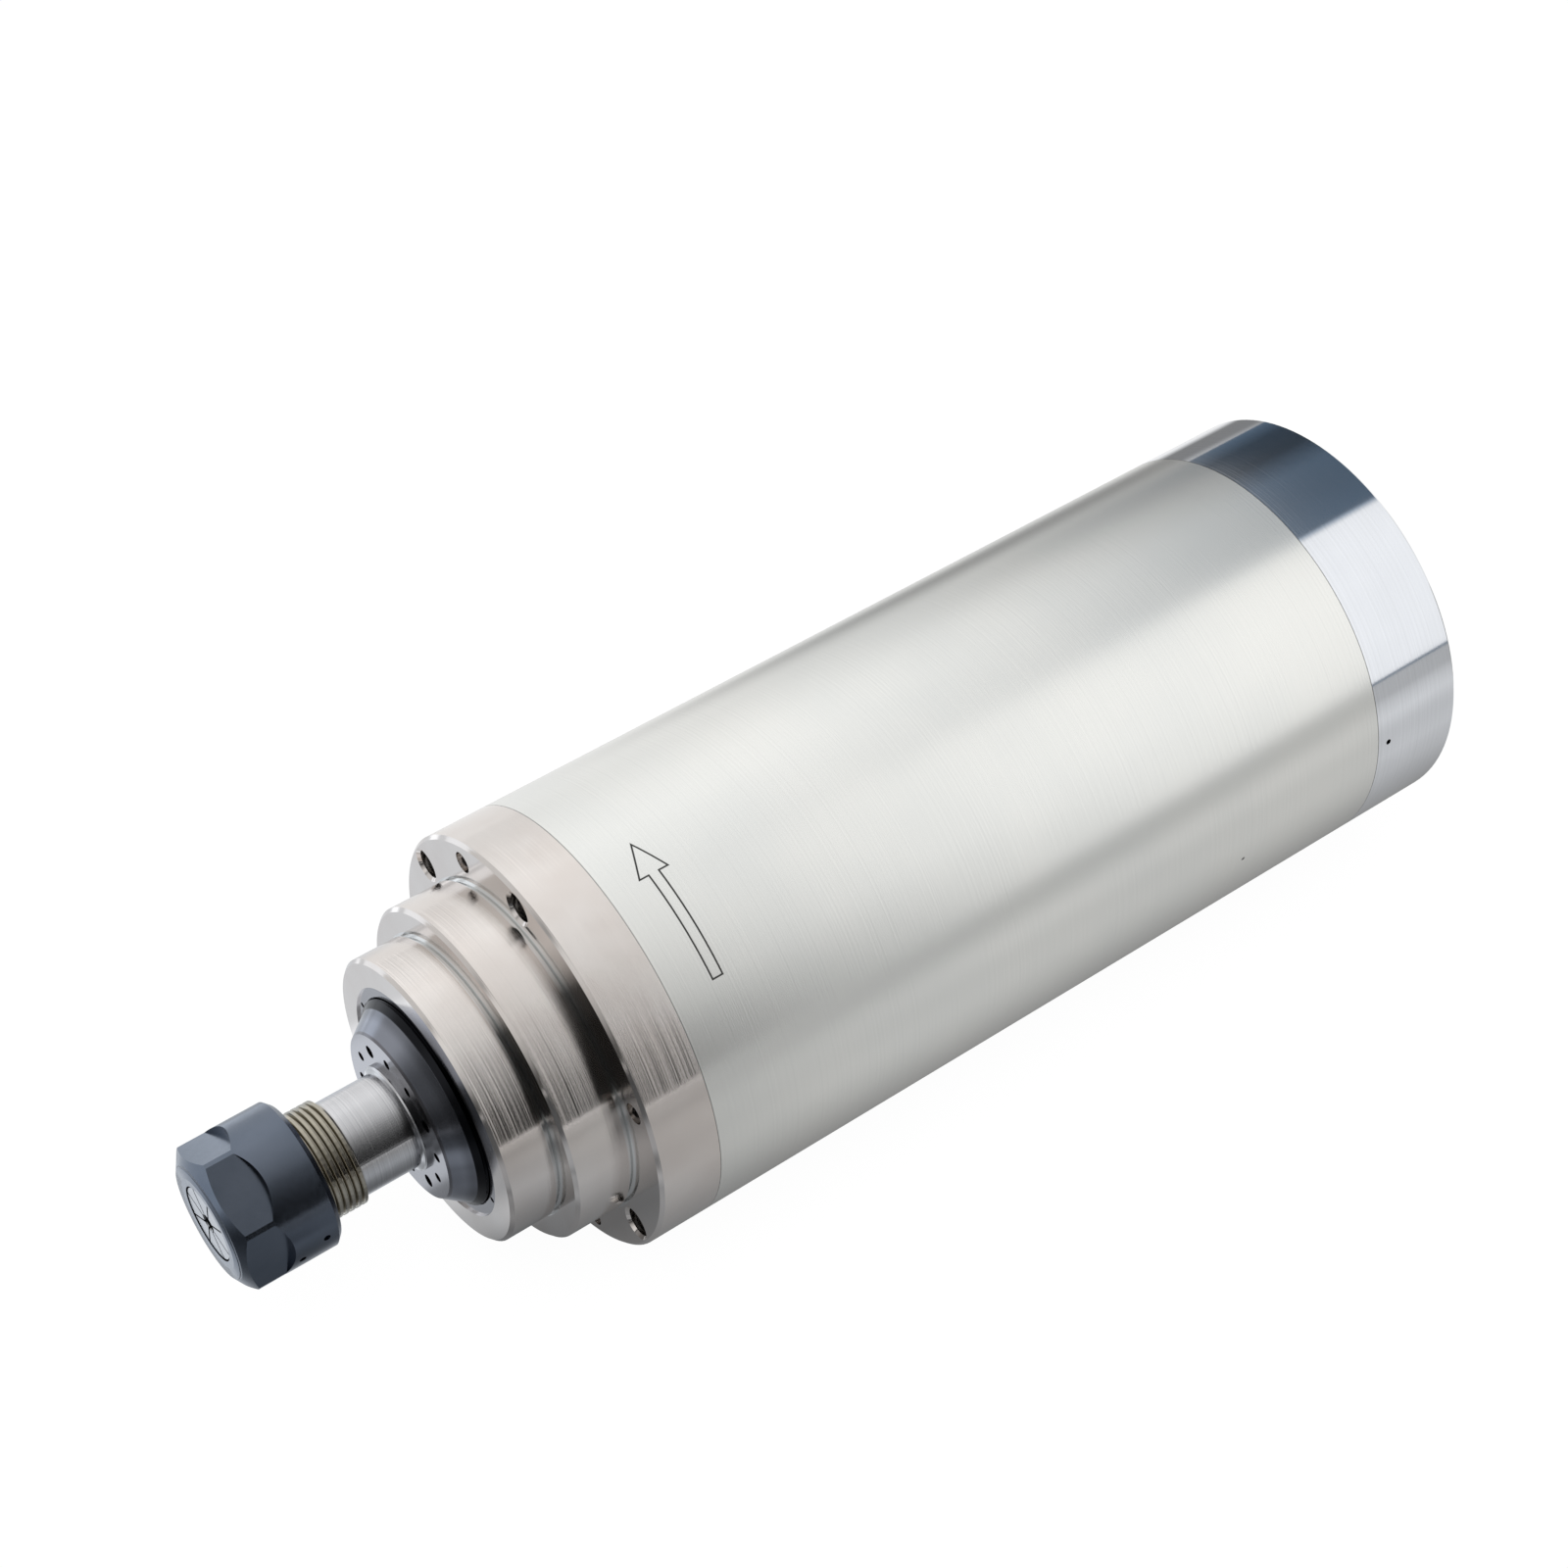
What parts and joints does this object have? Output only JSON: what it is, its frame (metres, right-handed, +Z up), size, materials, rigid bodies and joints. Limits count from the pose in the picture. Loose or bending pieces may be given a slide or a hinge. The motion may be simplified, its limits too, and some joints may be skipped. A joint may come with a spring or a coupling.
{
  "type": "motor spindle",
  "caption": "Water-cooled milling motor spindle: stepped flange, stainless sleeve, slinger ring, collet nut, and the motor inside.",
  "frame": {"origin": "on the spindle axis, in the plane of the flange's front face", "axes": "+X along the spindle axis towards the rear cap, +Z up, the spindle lies on its sleeve at z = -0.05"},
  "size_m": [0.3273, 0.1, 0.1],
  "materials": {
    "nickel_steel": "satin nickel plated steel",
    "sleeve_stainless": "satin stainless steel, drawn round",
    "cap_aluminium": "machined aluminium",
    "jacket_aluminium": "plain machined aluminium",
    "black_steel": "black oxide steel",
    "nut_steel": "blue grey hardened steel",
    "ground_steel": "ground tool steel",
    "collet_steel": "ground spring steel",
    "bearing_steel": "polished bearing steel",
    "cage_resin": "machined fabric resin",
    "spacer_steel": "ground steel",
    "lamination": "stacked electrical steel",
    "copper_wire": "enamelled copper",
    "slot_insulation": "pressed insulation",
    "lead_insulation": "silicone insulation",
    "cast_aluminium": "die cast aluminium",
    "dark_fastener": "black fastener steel",
    "spring_steel": "spring steel",
    "seal_rubber": "nitrile rubber",
    "connector_nickel": "nickel plated brass",
    "insulator_black": "moulded insulator",
    "contact_gold": "gold plated contact",
    "fitting_brass": "plain brass",
    "copper_washer": "soft copper"
  },
  "bodies": {
    "housing": {"front_housing": "nickel_steel", "retaining_ring": "spacer_steel", "flange_grub_screws": "dark_fastener", "front_outer_rings": "bearing_steel", "front_outer_spacer": "spacer_steel", "housing_o_rings": "seal_rubber", "outer_sleeve": "sleeve_stainless", "water_jacket": "jacket_aluminium", "jacket_o_rings": "seal_rubber", "tie_rods": "dark_fastener", "stator_core": "lamination", "stator_windings": "copper_wire", "slot_wedges": "slot_insulation", "lead_wires": "lead_insulation", "rear_housing": "jacket_aluminium", "rear_outer_rings": "bearing_steel", "preload_springs": "spring_steel", "rear_cap": "cap_aluminium", "cap_screws": "dark_fastener", "connector_shell": "connector_nickel", "connector_insert": "insulator_black", "connector_pins": "contact_gold", "water_fittings": "fitting_brass", "fitting_washers": "copper_washer"},
    "rotor": {"spindle_shaft": "ground_steel", "slinger": "black_steel", "front_inner_rings": "bearing_steel", "front_inner_spacer": "spacer_steel", "rotor_core": "lamination", "rotor_cage": "cast_aluminium", "rear_inner_rings": "bearing_steel", "rear_lock_nut": "dark_fastener"},
    "front_cage_set": {"front_cages": "cage_resin", "front_balls": "bearing_steel"},
    "rear_cage_set": {"rear_cages": "cage_resin", "rear_balls": "bearing_steel"},
    "collet": {"collet": "collet_steel"},
    "nut": {"collet_nut": "nut_steel", "extraction_ring": "spring_steel"}
  },
  "joints": [
    {"name": "spindle_spin", "type": "hinge", "parent": "housing", "child": "rotor", "pos_m": [0, 0, 0], "axis": [1, 0, 0], "continuous": true},
    {"name": "front_cage_spin", "type": "hinge", "parent": "housing", "child": "front_cage_set", "pos_m": [-0.003, 0, 0], "axis": [1, 0, 0], "continuous": true},
    {"name": "rear_cage_spin", "type": "hinge", "parent": "housing", "child": "rear_cage_set", "pos_m": [0.185, 0, 0], "axis": [1, 0, 0], "continuous": true},
    {"name": "collet_release", "type": "slide", "parent": "rotor", "child": "collet", "axis": [-1, 0, 0], "range_m": [0, 0.006]},
    {"name": "nut_turn", "type": "hinge", "parent": "collet", "child": "nut", "pos_m": [-0.068, 0, 0], "axis": [-1, 0, 0], "range_deg": [0, 1440]}
  ],
  "couplings": [
    {"joint": "front_cage_spin", "follows": "spindle_spin", "ratio": 0.401},
    {"joint": "rear_cage_spin", "follows": "spindle_spin", "ratio": 0.398},
    {"joint": "nut_turn", "follows": "collet_release", "rad_per_m": 4188.8}
  ]
}
